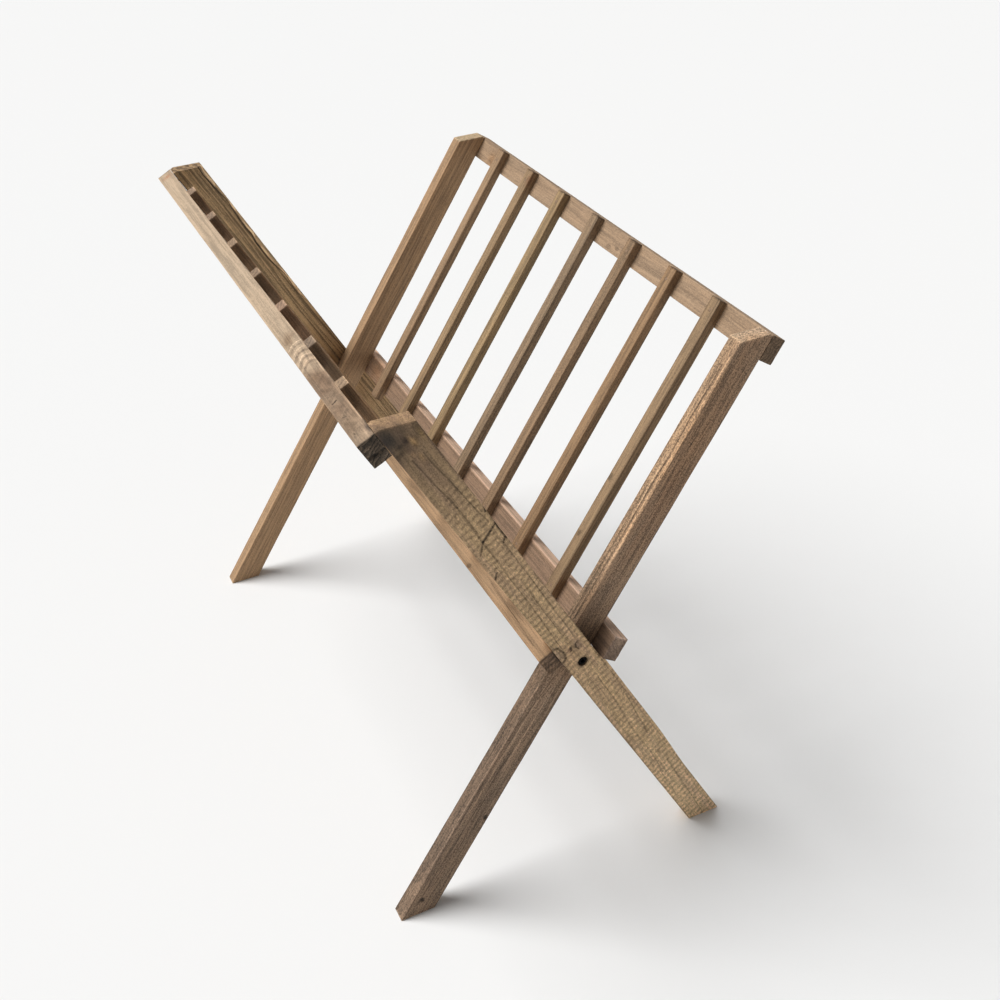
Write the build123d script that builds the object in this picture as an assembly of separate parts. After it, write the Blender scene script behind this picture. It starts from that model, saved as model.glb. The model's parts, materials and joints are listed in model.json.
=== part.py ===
from build123d import *
import os
from dataclasses import dataclass
from math import cos, radians, sin, tan

# A folding magazine rack: two slatted wooden frames that cross like an X and turn on a screw at each end.
# X runs across the rack, Y runs along it and Z is up. The origin lies on the floor, under the middle of
# the open rack. The outer frame leans towards -X. The inner frame fits between its legs and leans towards +X.
# All sizes are in millimetres and all angles in degrees.

# Whole rack
rack_width = 440.0          # over the outer frame's legs, along Y
pivot_height = 178.0        # pivot axis above the floor when open
outer_lean = 28.0           # outer frame's lean from upright when open
inner_lean = 33.7           # inner frame's lean from upright when open
outer_reach = 232.0         # pivot axis to the top of the outer frame, along its legs
inner_reach = 229.0         # pivot axis to the top of the inner frame, along its legs

# Legs
outer_leg_width = 21.0      # across the frame's plane
inner_leg_width = 20.0
leg_thickness = 11.5        # along Y
leg_gap = 0.9               # between an outer leg and the inner leg beside it
fold_gap = 0.3              # between the inner frame's rails and the outer legs when folded flat
top_facet = 2.6             # square part of a leg's top, before the level cut

# Rails: width runs along the legs, depth stands out from the legs' outer edges
outer_top_rail_width = 18.0
outer_top_rail_depth = 11.5
inner_top_rail_width = 17.2
rail_depth = 10.5           # every rail but the outer frame's top one
outer_low_rail_width = 14.7
outer_low_rail_start = 9.0  # its lower edge above the pivot axis
outer_low_rail_setback = 0.4    # inside the outer legs' outer faces at each end
inner_low_rail_width = 16.8
inner_low_rail_overhang = 2.9   # past the outer legs at each end
stop_gap = 0.1              # between the stop rail and the legs that it bears on

# Slats
slat_count = 7
slat_width = 9.5            # along Y
slat_thickness = 6.0
slat_foot = 0.0             # lower end, measured along the legs from the pivot axis
outer_slat_pitch = 54.3
inner_slat_pitch = 51.4

# Pivot hardware: a coach screw fast in the inner leg, on which the outer leg turns
pivot_diameter = 4.0
pivot_tip_length = 3.0
pivot_grip = 9.5            # length in the inner leg, tip included
running_clearance = 0.05    # radial, in the outer leg's bore
pivot_head_diameter = 6.4
pivot_head_height = 2.4
head_bore_diameter = 6.8
head_bore_depth = 3.0
washer_diameter = 9.0
washer_thickness = 0.8
washer_bore_diameter = 4.3

# Rail screws and slat brads
screw_diameter = 3.0
screw_head_diameter = 6.0
screw_head_height = 1.8
screw_length = 20.0
screw_inset = 6.0           # screw axis from the outer face of the leg it enters
brad_diameter = 1.4
brad_head_diameter = 2.2
brad_head_height = 0.6
brad_length = 14.0

# Worked out from the sizes above
open_angle = outer_lean + inner_lean
pivot_inset = (outer_leg_width + fold_gap) / 2  # pivot axis from a leg's outer edge, on both frames
outer_half = rack_width / 2
inner_half = outer_half - leg_thickness - leg_gap
# The inner frame's lower rail crosses the outer legs. Its lower corner meets their inner edges when open.
stop_rail_rise = outer_leg_width + stop_gap - pivot_inset * (1 + cos(radians(open_angle)))
stop_rail_start = stop_rail_rise / sin(radians(open_angle))
# The rack's furthest points in X are the inner frame's top rail and feet, so they centre it on the origin.
reach_forward = inner_reach * sin(radians(inner_lean)) + (pivot_inset + rail_depth) * cos(radians(inner_lean))
reach_back = pivot_height * tan(radians(inner_lean)) + (inner_leg_width - pivot_inset) / cos(radians(inner_lean))
pivot_x = (reach_back - reach_forward) / 2


@dataclass
class Frame:
    """One slatted frame, drawn upright about its pivot axis with its inner side towards `inward` along X."""

    name: str
    inward: int
    lean: float
    half_width: float
    leg_width: float
    reach: float
    top_rail_width: float
    top_rail_depth: float
    low_rail_start: float
    low_rail_width: float
    low_rail_half: float
    slat_pitch: float

    def x(self, n):
        """X of a point that lies n inward of the legs' outer edges."""
        return self.inward * (n - pivot_inset)

    def place(self, part):
        """Leans a part that was drawn upright and carries it to the pivot axis."""
        return Pos(pivot_x, 0, pivot_height) * Rot(0, -self.inward * self.lean, 0) * part

    def bar(self, n_low, n_high, y_low, y_high, s_low, s_high):
        """A straight stick: n is inward of the legs' outer edges, s is along the legs from the pivot axis."""
        size = (n_high - n_low, y_high - y_low, s_high - s_low)
        centre = (self.x((n_low + n_high) / 2), (y_low + y_high) / 2, (s_low + s_high) / 2)
        return Pos(*centre) * Box(*size)

    def slat_places(self):
        middle = (slat_count - 1) / 2
        return [(middle - i) * self.slat_pitch for i in range(slat_count)]

    def rail_middles(self):
        """Along the legs: the middle of the top rail, then of the lower rail."""
        return [self.reach - self.top_rail_width / 2, self.low_rail_start + self.low_rail_width / 2]


outer = Frame(
    name="outer",
    inward=1,
    lean=outer_lean,
    half_width=outer_half,
    leg_width=outer_leg_width,
    reach=outer_reach,
    top_rail_width=outer_top_rail_width,
    top_rail_depth=outer_top_rail_depth,
    low_rail_start=outer_low_rail_start,
    low_rail_width=outer_low_rail_width,
    low_rail_half=outer_half - outer_low_rail_setback,
    slat_pitch=outer_slat_pitch,
)
inner = Frame(
    name="inner",
    inward=-1,
    lean=inner_lean,
    half_width=inner_half,
    leg_width=inner_leg_width,
    reach=inner_reach,
    top_rail_width=inner_top_rail_width,
    top_rail_depth=rail_depth,
    low_rail_start=stop_rail_start,
    low_rail_width=inner_low_rail_width,
    low_rail_half=outer_half + inner_low_rail_overhang,
    slat_pitch=inner_slat_pitch,
)


def rod(diameter, x, y_low, y_high, z):
    """A round bar along Y, or the bore that one fits."""
    return Pos(x, (y_low + y_high) / 2, z) * Rot(90, 0, 0) * Cylinder(diameter / 2, y_high - y_low)


def along_x(x_low, x_high, radius_low, radius_high):
    """A round length along X: a cylinder where both radii match, and a taper where they don't."""
    length = x_high - x_low
    if radius_low == radius_high:
        shape = Cylinder(radius_low, length)
    else:
        shape = Cone(radius_low, radius_high, length)
    return Pos((x_low + x_high) / 2, 0, 0) * Rot(0, 90, 0) * shape


def wood_screw():
    """A countersunk screw: its flat top is at X = 0 and it runs towards +X."""
    head = along_x(0, screw_head_height, screw_head_diameter / 2, screw_diameter / 2)
    return head + along_x(screw_head_height, screw_length, screw_diameter / 2, screw_diameter / 2)


def brad():
    """A small flat-headed nail: its flat top is at X = 0 and it runs towards +X."""
    head = along_x(0, brad_head_height, brad_head_diameter / 2, brad_head_diameter / 2)
    return head + along_x(brad_head_height, brad_length, brad_diameter / 2, brad_diameter / 2)


def rail_screws(frame):
    """Screws driven from each rail's outer face into the edges of the legs."""
    turn = Rot(0, 0, 0 if frame.inward > 0 else 180)
    screws = []
    for s, depth in zip(frame.rail_middles(), (frame.top_rail_depth, rail_depth)):
        for end in (-1, 1):
            y = end * (frame.half_width - screw_inset)
            screws.append(Pos(frame.x(-depth), y, s) * turn * wood_screw())
    return screws


def slat_brads(frame):
    """Nails driven from each slat's inner face into the rails behind it."""
    turn = Rot(0, 0, 180 if frame.inward > 0 else 0)
    return [
        Pos(frame.x(slat_thickness), y, s) * turn * brad()
        for s in frame.rail_middles()
        for y in frame.slat_places()
    ]


def bored(part, fasteners):
    """The part with a hole for each fastener that reaches into it."""
    box = part.bounding_box()
    for item in fasteners:
        middle = item.bounding_box().center()
        if box.min.Y < middle.Y < box.max.Y and box.min.Z < middle.Z < box.max.Z:
            part = part - item
    return part


def leg(frame, end, screws):
    """A leg: cut square beside the rail, then level to its inner edge, and level at the foot."""
    lean = radians(frame.lean)

    def foot(n):
        return (-pivot_height - (n - pivot_inset) * sin(lean)) / cos(lean)

    width = frame.leg_width
    inner_top = frame.reach - (width - top_facet) * tan(lean)
    outline = [
        (frame.x(0), foot(0)),
        (frame.x(width), foot(width)),
        (frame.x(width), inner_top),
        (frame.x(top_facet), frame.reach),
        (frame.x(0), frame.reach),
    ]
    profile = Plane.XZ * make_face(Polyline(*outline, close=True).edges())
    middle = end * (frame.half_width - leg_thickness / 2)
    blank = Pos(0, middle, 0) * extrude(profile, leg_thickness / 2, both=True)
    return bored(blank, screws)


def outer_leg(end, screws):
    """The outer leg turns on the pivot screw, whose head is sunk in its outer face."""
    face = end * outer_half
    inside = end * (outer_half - leg_thickness)
    floor = end * (outer_half - head_bore_depth)
    bore = pivot_diameter + 2 * running_clearance
    part = leg(outer, end, screws) - rod(bore, 0, *sorted((face, inside)), 0)
    return part - rod(head_bore_diameter, 0, *sorted((face, floor)), 0)


def inner_leg(end, screws):
    """The inner leg holds the pivot screw in a bore that stops short of its inner face."""
    return leg(inner, end, screws) - pivot_screw(end)


def rail(frame, s_low, width, depth, half_length, fasteners):
    """A rail across the legs' outer edges, bored for its screws and brads."""
    return bored(frame.bar(-depth, 0, -half_length, half_length, s_low, s_low + width), fasteners)


def top_rail(frame, fasteners):
    start = frame.reach - frame.top_rail_width
    return rail(frame, start, frame.top_rail_width, frame.top_rail_depth, frame.half_width, fasteners)


def low_rail(frame, fasteners):
    start = frame.low_rail_start
    return rail(frame, start, frame.low_rail_width, rail_depth, frame.low_rail_half, fasteners)


def slat(frame, y, brads):
    """A slat on the rails' inner faces, flush with the top rail and running down to the pivot's level."""
    half = slat_width / 2
    return bored(frame.bar(0, slat_thickness, y - half, y + half, slat_foot, frame.reach), brads)


def pivot_screw(end):
    """A round-headed coach screw, through the outer leg and into the inner one."""
    seat = outer_half - head_bore_depth
    tip = inner_half - pivot_grip
    point = Pos(0, end * (tip + pivot_tip_length / 2), 0) * Rot(90 * end, 0, 0)
    point = point * Cone(pivot_diameter / 2, pivot_diameter / 8, pivot_tip_length)
    shank = rod(pivot_diameter, 0, *sorted((end * seat, end * (tip + pivot_tip_length))), 0)
    head = rod(pivot_head_diameter, 0, *sorted((end * seat, end * (seat + pivot_head_height))), 0)
    return head + shank + point


def pivot_washer(end):
    """A flat washer on the outer leg's side of the gap between the legs."""
    face = outer_half - leg_thickness
    span = sorted((end * face, end * (face - washer_thickness)))
    return rod(washer_diameter, 0, *span, 0) - rod(washer_bore_diameter, 0, *span, 0)


def frame_nodes(frame, make_leg):
    """Every wooden stick and fastener of one frame, by node name."""
    screws = rail_screws(frame)
    brads = slat_brads(frame)
    nodes = {
        f"{frame.name}_leg_left": make_leg(-1, screws),
        f"{frame.name}_leg_right": make_leg(1, screws),
        f"{frame.name}_top_rail": top_rail(frame, screws + brads),
        f"{frame.name}_lower_rail": low_rail(frame, screws + brads),
        f"{frame.name}_rail_screws": Compound(children=screws),
        f"{frame.name}_slat_brads": Compound(children=brads),
    }
    for i, y in enumerate(frame.slat_places()):
        nodes[f"{frame.name}_slat_{i + 1}"] = slat(frame, y, brads)
    return {name: frame.place(part) for name, part in nodes.items()}


def pivot_nodes():
    """The hardware on the pivot axis, at the rack's left and right ends."""
    nodes = {}
    for label, end in (("left", -1), ("right", 1)):
        nodes[f"pivot_screw_{label}"] = pivot_screw(end)
        nodes[f"pivot_washer_{label}"] = pivot_washer(end)
    return {name: inner.place(part) for name, part in nodes.items()}


parts = {**frame_nodes(outer, outer_leg), **frame_nodes(inner, inner_leg), **pivot_nodes()}

os.makedirs("parts", exist_ok=True)
for name, part in parts.items():
    export_step(part, f"parts/{name}.step")
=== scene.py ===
import json
import math
from dataclasses import dataclass, replace

import bpy
import numpy as np
from mathutils import Matrix, Vector


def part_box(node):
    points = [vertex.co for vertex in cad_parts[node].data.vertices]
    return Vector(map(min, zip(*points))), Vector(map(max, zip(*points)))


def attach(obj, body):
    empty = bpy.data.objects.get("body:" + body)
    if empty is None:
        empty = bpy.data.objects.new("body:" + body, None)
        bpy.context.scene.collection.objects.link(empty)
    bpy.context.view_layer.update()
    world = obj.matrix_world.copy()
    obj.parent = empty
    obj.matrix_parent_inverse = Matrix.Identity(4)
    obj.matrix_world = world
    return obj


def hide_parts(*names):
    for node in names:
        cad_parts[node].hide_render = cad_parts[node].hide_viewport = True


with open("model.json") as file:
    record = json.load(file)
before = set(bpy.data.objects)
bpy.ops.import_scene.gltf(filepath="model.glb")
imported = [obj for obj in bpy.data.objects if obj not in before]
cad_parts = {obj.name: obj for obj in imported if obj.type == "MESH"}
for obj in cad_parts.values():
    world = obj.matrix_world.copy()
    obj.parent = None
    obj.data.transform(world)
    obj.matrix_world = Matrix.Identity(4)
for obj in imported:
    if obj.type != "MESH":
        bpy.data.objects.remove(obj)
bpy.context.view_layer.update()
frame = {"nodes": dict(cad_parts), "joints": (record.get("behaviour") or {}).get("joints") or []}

# A folding magazine rack of weathered, rough-sawn pine. Each wooden stick of the CAD model is built again
# with worn edges, saw marks, cracks and bores, and each steel fastener with its recess, chamfers and thread.
# A place on a leaning frame is (s, n, y) in mm: s runs up the legs from the pivot axis, n runs inward
# from the legs' outer edges, and y runs along the rack. Faces are named by axis and side, as in "n+".

MM = 0.001
S, N, Y = 0, 1, 2
NEAR, FAR = -220.0, 220.0       # the outer faces of the outer legs, along y

# Wood surface, in mm
GRID_STEP = 1.0                 # between a stick's cross lines
SIDE_STEP = 1.1                 # between its lengthwise lines
EDGE_RADIUS = 0.42              # of a worn edge, on average
EDGE_RADIUS_CHANGE = 0.2
WANE_STEP = 0.35                # between the lengthwise lines beside a bark edge
WANE_REACH = 6.0
HOLLOW = 0.16                   # depth of the slow waves of a planed face
FIBRE_DEPTH = 0.07
SAW_PITCH = 4.5                 # between the marks of a saw's strokes
SAW_SLANT = -0.12               # how far the marks lean along the stick, for each step across it
SAW_DEPTH = 0.16
KNOT_RIDGE = 0.12               # depth of the groove round a knot
DARKEST, PALEST = -1.3, 0.9     # the grain's range, as shares of a look's contrast
SWELL_RISE = (5.5, 12)          # where the outer legs' inner edge starts to stand out, below the pivot
SWELL_FALL = (90, 150)          # where it ends
WANE_START = (60, 100)          # where the bark edge begins, above the pivot
SLAT_SEAT = 0.5                 # how far the slats reach into the rails, so that no light shows between them
END_BLEND = 26.0                # length over which a level cut's slant fades along a leg
SHARP_ANGLE = math.radians(42)

# Fasteners, in mm
PIVOT_RADIUS = 2.0
PIVOT_HEAD_RADIUS = 3.2
PIVOT_HEAD_HEIGHT = 2.4
PIVOT_PLAIN_SHARE = 0.56        # of the pivot screw's length, up to its thread
PIVOT_TIP = 3.0
PIVOT_THREAD_PITCH = 1.5
HEAD_BORE_RADIUS = 3.4
HEAD_BORE_DEPTH = 3.0
GRIP_DEPTH = 9.6                # of the pivot screw's bore in an inner leg
SOCKET_RADIUS = 1.25
SCREW_HEAD_RADIUS = 3.0
SCREW_HEAD_HEIGHT = 1.8
SCREW_RADIUS = 1.5
SCREW_THREAD_PITCH = 1.3
BRAD_HEAD_RADIUS = 1.1
BRAD_RADIUS = 0.7
BORE_CLEARANCE = 0.05

# Floor, light and camera, in metres
FLOOR_REACH = 9.0
SUN_DIRECTION = (0.43, -0.33, -0.84)
SUN_STRENGTH = 3.5
SUN_WIDTH = math.radians(42)
SURROUND = 0.93                 # strength of the surround's light at the horizon, and of the backdrop
SURROUND_ABOVE = 0.2
SURROUND_FADE = (0.02, 0.14)    # the rise of direction, of 1, over which the one passes into the other
CAMERA_PLACE = (-0.30701, -0.78398, 0.737)
CAMERA_RIGHT = (0.90261, -0.42861, -0.03973)
CAMERA_FORWARD = (0.35183, 0.78778, -0.50559)
CAMERA_LENS = 48.83             # mm, on a 36 mm sensor
CAMERA_SHIFT = -0.0959


# The leaning frames --------------------------------------

class LeaningFrame:
    """The axes of one slatted frame, found from its left leg in the CAD model."""

    def __init__(self, name):
        leg = frame["nodes"][f"{name}_leg_left"].data
        x, _, z = max((f for f in leg.polygons if abs(f.normal.y) < 0.1), key=lambda f: f.area).normal
        inward = np.array([x, 0, z]) * np.sign(z)
        along = np.array([-inward[2] * np.sign(inward[0]), 0, abs(inward[0])])
        self.name = name
        self.body = f"{name}_frame"
        self.axes = np.array([along, inward, [0, 1, 0]])
        self.lean = math.asin(inward[2])
        self.origin = np.array(frame["joints"][0]["pos_m"]) / MM
        self.pivot_height = self.origin[2]
        self.pivot_n = -self.places(f"{name}_leg_left")[:, N].min()
        self.origin = self.origin - self.pivot_n * inward

    def places(self, node):
        """Places of a CAD node's corner points."""
        points = np.array([v.co for v in frame["nodes"][node].data.vertices])
        return (points / MM - self.origin) @ self.axes.T

    def world(self, places):
        """Points in the rack's own frame, in metres."""
        return (np.asarray(places, float) @ self.axes + self.origin) * MM

    def place_of(self, points):
        return (np.asarray(points, float) / MM - self.origin) @ self.axes.T


outer = LeaningFrame("outer")
inner = LeaningFrame("inner")
SLATS = range(1, 8)


# Random surfaces -----------------------------------------

def noise(places, size, seed):
    """Smooth random values from -1 to 1, whose features have the given size in mm along s, n and y."""
    table = np.random.default_rng(seed).uniform(-1, 1, 4096)
    scaled = places / np.array(size, float)
    cell = np.floor(scaled).astype(np.int64)
    part = scaled - cell
    part = part * part * (3 - 2 * part)
    total = np.zeros(len(places))
    for corner in np.ndindex(2, 2, 2):
        weight = np.prod(np.where(corner, part, 1 - part), axis=1)
        key = (cell + corner) @ np.array([73856093, 19349663, 83492791])
        total += weight * table[key % len(table)]
    return total


def smooth_step(value, low, high):
    part = np.clip((value - low) / (high - low), 0, 1)
    return part * part * (3 - 2 * part)


def near_line(places, start, end):
    """Distance of each place from the line between two others."""
    start, end = np.array(start, float), np.array(end, float)
    run = end - start
    share = np.clip((places - start) @ run / (run @ run), 0, 1)
    return np.linalg.norm(places - start - share[:, None] * run, axis=1)


# How a stick looks ---------------------------------------

@dataclass(frozen=True)
class Blot:
    """A soft-edged patch: its middle and reach in (s, n, y), and what it multiplies the wood's colour by."""

    at: tuple
    reach: tuple
    tint: tuple


@dataclass(frozen=True)
class Line:
    """A crack, scratch, grain line, painted highlight or painted shade between two places: its width and
    depth in mm, and its strength.

    A line of positive strength is dark, and one of negative strength is pale.
    """

    start: tuple
    end: tuple
    width: float = 0.6
    strength: float = 0.7
    depth: float = 0.0


@dataclass(frozen=True)
class Knot:
    """A round knot: where its middle meets the surface, its radius in mm and how dark its heart is."""

    at: tuple
    radius: float
    strength: float = 0.7


@dataclass(frozen=True)
class Look:
    """A stick's wood. Its colour is sRGB from 0 to 255, and tints multiply it."""

    colour: tuple
    contrast: float = 0.16          # how far the darkest and palest grain lie from the colour
    cast: tuple = (0.90, 0.93, 0.96)    # the tint that weather gives
    weather: float = 0.5
    ring_pitch: float = 2.6
    pith: tuple = (-30.0, 22.0)     # the tree's middle, from the stick's middle, across the grain
    ring: float = 0.3
    streak: float = 1.0
    speckle: float = 1.5
    sawn: tuple = ()                # faces that were left rough from the saw
    saw_fade: tuple = (900.0, 1000.0)   # where the saw marks fade out along s
    # Face tints paint light and shade on whole faces.
    faces: tuple = ()               # (face, tint) pairs
    blots: tuple = ()
    lines: tuple = ()
    knots: tuple = ()
    edge: float = 0.35
    end_tint: tuple = (0.62, 0.58, 0.54)
    end_contrast: float = 1.0
    wane: float = 0.0
    swell: float = 0.0              # how far the inner edge stands out below the pivot

    def tone(self, share):
        """The colour of grain from -1, the darkest, to 1, the palest."""
        return tuple(c * (1 + share * self.contrast) for c in self.colour)


PLAIN_LEG = Look(
    colour=(152, 126, 102), contrast=0.14, ring=0.16, end_tint=(2.0, 2.1, 2.15), end_contrast=0.3,
)
ROUGH_LEG = Look(
    colour=(192, 162, 123), sawn=("y-", "y+"), ring=0.3, ring_pitch=4.6, pith=(-75.0, 3.0),
    end_tint=(1.0, 0.98, 1.0), end_contrast=0.3,
)
PALE_RAIL = Look(colour=(184, 161, 135), contrast=0.10, ring=0.2)
WARM_RAIL = Look(colour=(164, 137, 110), contrast=0.13, ring=0.2)
# Painted shade that darkens the slats' side faces along y.
SLAT_SIDE_SHADE = (0.80, 0.78, 0.76)
SLAT = Look(colour=(152, 127, 100), contrast=0.15, ring=0.2, faces=(("y-", SLAT_SIDE_SHADE), ("y+", SLAT_SIDE_SHADE)))


def tinted(look, red, green, blue):
    """The same look with its colour multiplied."""
    return replace(look, colour=tuple(c * f for c, f in zip(look.colour, (red, green, blue))))


def even(share):
    """A tint that changes only the brightness."""
    return (share, share, share)


def near_blots(y, depth, rows):
    """Blots on a near face at y. A row is a blot's s and n, its reach along s and n, and its tint."""
    return tuple(Blot((s, n, y), (along, across, depth), tint) for s, n, along, across, tint in rows)


def near_lines(y, depth, rows):
    """Lines on a near face at y. A row is s and n of a line's start and end, its width and its strength."""
    return tuple(Line((s0, n0, y), (s1, n1, y), width, power, depth) for s0, n0, s1, n1, width, power in rows)


def outer_near_leg():
    """Rough-sawn and olive, dark and knotty beside its rail's end, with long dark grain lines."""
    knotty_end = (
        (211, 4, 1.8, 4.0, (0.42, 0.42, 0.40)),
        (215, 5.5, 1.4, 3.0, even(0.36)),
        (216, 10, 3.2, 1.5, (0.20, 0.18, 0.17)),
        (210, 12.6, 2.8, 1.1, (0.45, 0.43, 0.40)),
        (213.5, 15.4, 4.0, 0.9, (0.5, 0.48, 0.45)),
        (202, 11.5, 2.8, 1.0, (1.6, 1.55, 1.3)),
        (213, 12.4, 3.6, 0.9, (2.0, 1.9, 1.5)),
        (212, 14.0, 3.0, 0.9, (1.7, 1.6, 1.3)),
        (214, 18.9, 5.0, 1.3, (1.7, 1.65, 1.3)),
        (206, 8.6, 1.8, 1.3, (1.4, 1.35, 1.2)),
    )
    beside_pivot = (
        (14.2, 13.8, 3.4, 2.8, (0.42, 0.43, 0.48)),
        (15, 9.2, 2.2, 1.4, (0.5, 0.42, 0.42)),
        (17.5, 1.4, 6.0, 2.6, (0.58, 0.60, 0.66)),
        (17.5, 0.6, 3.0, 1.0, (1.5, 1.5, 1.55)),
        (12, 8, 12, 16, (0.92, 0.89, 0.90)),
        (-116, 12.9, 2.4, 1.0, (0.6, 0.58, 0.56)),
    )
    grain = (
        (-203, 10.2, -163, 12.2, 0.6, 0.4), (-163, 12.2, -128, 14, 0.9, 0.4),
        (-135, 6.2, -111, 8.6, 0.9, 0.45), (-111, 8.6, -73, 9, 0.9, 0.45), (-73, 9, -43, 11.6, 0.9, 0.4),
        (-43, 11.6, -17, 12.4, 0.6, 0.4), (-173, 3.2, -131, 5.6, 0.6, 0.4), (-131, 5.6, -81, 7, 0.5, 0.4),
        (-93, 14.6, -49, 19.3, 0.7, 0.45),
        (21, 5.6, 67, 7.2, 0.6, 0.5), (67, 7.2, 133, 8.6, 0.9, 0.5), (133, 8.6, 159, 9.3, 0.9, 0.55),
        (159, 9.3, 203, 6.4, 0.9, 0.55), (31, 10.7, 87, 11.8, 0.6, 0.4), (21, 16, 87, 17, 0.7, 0.45),
        (87, 17, 133, 17.9, 0.6, 0.4), (137, 17.8, 203, 13.4, 0.7, 0.55), (-218, 0.5, 7, 0.5, 0.7, 0.5),
        (-218, 20.5, 212, 20.5, 0.6, 0.4),
    )
    forked_crack = (
        (121, 2.9, 128, 9, 1.0, 0.8), (128, 9, 131, 15.7, 1.3, 0.95), (131, 15.7, 133, 20.5, 1.0, 0.85),
        (120, 20.3, 134, 20.5, 1.1, 0.95), (118, 17.6, 121.5, 20.3, 0.8, 0.85),
        (144.5, 19.8, 146, 20.8, 0.9, 0.95), (99.5, 0.6, 103, 3.4, 0.9, 0.85),
    )
    knot_rims = (
        (9.5, 0.4, 12, 3.6, 1.2, 0.7), (12, 3.6, 17, 4.6, 1.3, 0.7), (17, 4.6, 23, 3.4, 1.1, 0.7),
        (23, 3.4, 26, 0.4, 1.0, 0.6), (14, 9.2, 16.5, 9.6, 1.0, 0.85), (11.5, 13.2, 14, 12.6, 0.9, 0.8),
        (14, 12.6, 16.5, 13.6, 1.0, 0.8), (16.5, 13.6, 17.5, 16.2, 0.8, 0.7),
    )
    # Painted shade in and round the pivot screw's recess.
    pivot_recess_shade = ((-0.1, 10.65, 0.1, 10.65, 5.4, 0.9),)
    return replace(
        ROUGH_LEG,
        contrast=0.18,
        streak=0.45,
        ring=0.1,
        saw_fade=(150, 205),
        cast=(0.94, 0.92, 1.0),
        weather=0.9,
        swell=1.6,
        edge=0.0,
        blots=(
            Blot((232, 10, NEAR), (76, 40, 30), (0.40, 0.38, 0.40)),
            Blot((223, 3, NEAR), (12, 8, 4), (0.22, 0.26, 0.34)),
            *near_blots(NEAR, 3, knotty_end + beside_pivot),
            # Painted light, with paler wood: brightens the leg towards its foot.
            Blot((-190, 10, NEAR), (90, 30, 30), (1.40, 1.45, 1.53)),
        ),
        lines=near_lines(NEAR, 0.0, grain) + near_lines(NEAR, 0.3, forked_crack + knot_rims + pivot_recess_shade),
        knots=(Knot((217, 19, NEAR), 3.2, 0.6),),
        end_tint=(1.76, 1.7, 1.64),
    )


def outer_far_leg():
    """Striped in olive and brown, with the bark's wavy edge left along its inner side."""
    return replace(
        ROUGH_LEG,
        colour=(178, 148, 110),
        contrast=0.22,
        ring_pitch=4.2,
        pith=(-34.0, -16.0),
        ring=0.6,
        sawn=("y+",),
        blots=(Blot((0, 8, 208), (60, 30, 20), (0.62, 0.56, 0.50)),),
        wane=1.0,
        swell=2.6,
        end_tint=(0.8, 0.78, 0.8),
    )


def outer_top_rail():
    """Pale sand, with curly grain round a knot and then greyer, pitted wood towards its near end."""
    top = 232
    arcs = (
        (-99.5, 4, 0.8, -0.25), (-103, 4.5, 1.2, 0.22), (-107, 6, 1.2, -0.14), (-111.5, 6, 1.6, 0.34),
        (-116, 7, 1.0, -0.12), (-119, 7, 1.6, 0.3), (-123, 7, 1.0, -0.12), (-126, 7, 1.4, 0.3),
    )
    curls = []
    for y, reach, width, strength in arcs:
        rim = [(top, n, y - reach * ((n + 4.5) / 6) ** 2) for n in (-10.5, -8, -5.5, -3, -0.5)]
        curls += [Line(start, end, width, strength) for start, end in zip(rim, rim[1:])]
    mottles = [
        Line((top, -1.5 - 2.4 * (i * 7 % 4), y), (top, -2.5 - 2.0 * (i * 5 % 4), y - 5), 1.9, 0.24)
        for i, y in enumerate(range(-132, -212, -5))
    ]
    top_blots = (
        (-6, -152, (8, 8, 14), (0.72, 0.66, 0.63)),
        (-7, -94, (6, 4, 7), (0.62, 0.56, 0.50)),
        (-8, -119, (6, 5, 10), even(1.3)),
        (-7, -142, (8, 6, 6), (0.80, 0.74, 0.68)),
        (-7, -182, (8, 5, 6), (0.84, 0.80, 0.78)),
        (-8, -200, (8, 4, 8), (0.86, 0.84, 0.82)),
        (-5, 211, (4, 3, 3), (0.86, 0.62, 0.54)),
        (-0.6, -212, (3.4, 1.8, 4.2), (0.30, 0.30, 0.34)),
        (-2.6, -213, (2.0, 0.8, 3.0), even(1.9)),
    )
    # Dark nicks on the top, and in the last two rows pale lines of painted highlight along its inner arris.
    nicks_and_arris_highlights = (
        ((-7.9, -174.6), (-5.6, -173.8), 0.8, 0.9, 0.3),
        ((-8.6, -190.6), (-6.2, -191.8), 0.6, 0.5, 0.0),
        ((-6.8, -194.6), (-6.3, -195.0), 0.6, 0.5, 0.0),
        ((-8.4, -208.4), (-8.0, -209.4), 0.8, 0.8, 0.3),
        ((-0.2, -150), (-0.2, -60), 0.7, -0.25, 0.0),
        ((-0.2, -202), (-0.2, -160), 0.7, -0.3, 0.0),
    )
    return replace(
        PALE_RAIL,
        pith=(-60.0, 30.0),
        blots=(
            Blot((226, -8, -182), (40, 40, 60), (0.66, 0.60, 0.56)),
            *(Blot((top, n, y), reach, tint) for n, y, reach, tint in top_blots),
            Blot((221, -6.2, NEAR), (0.8, 4.0, 2.0), even(0.10)),
            Blot((226, -8, NEAR), (2.6, 1.6, 1.5), (1.7, 1.7, 1.75)),
            Blot((217, -3.5, NEAR), (1.6, 2.4, 1.5), (1.6, 1.6, 1.65)),
            Blot((229, -3, NEAR), (1.4, 2.6, 1.5), even(0.55)),
        ),
        lines=(
            *curls,
            *mottles,
            Line((221.8, -9.6, NEAR), (220.4, -2.4, NEAR), 1.4, 1.0, 0.7),
            *(Line((top, *start), (top, *end), *rest) for start, end, *rest in nicks_and_arris_highlights),
        ),
        speckle=1.6,
        end_tint=(0.34, 0.35, 0.36),
        end_contrast=1.8,
        edge=0.8,
        ring_pitch=3.0,
        ring=0.35,
    )


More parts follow.
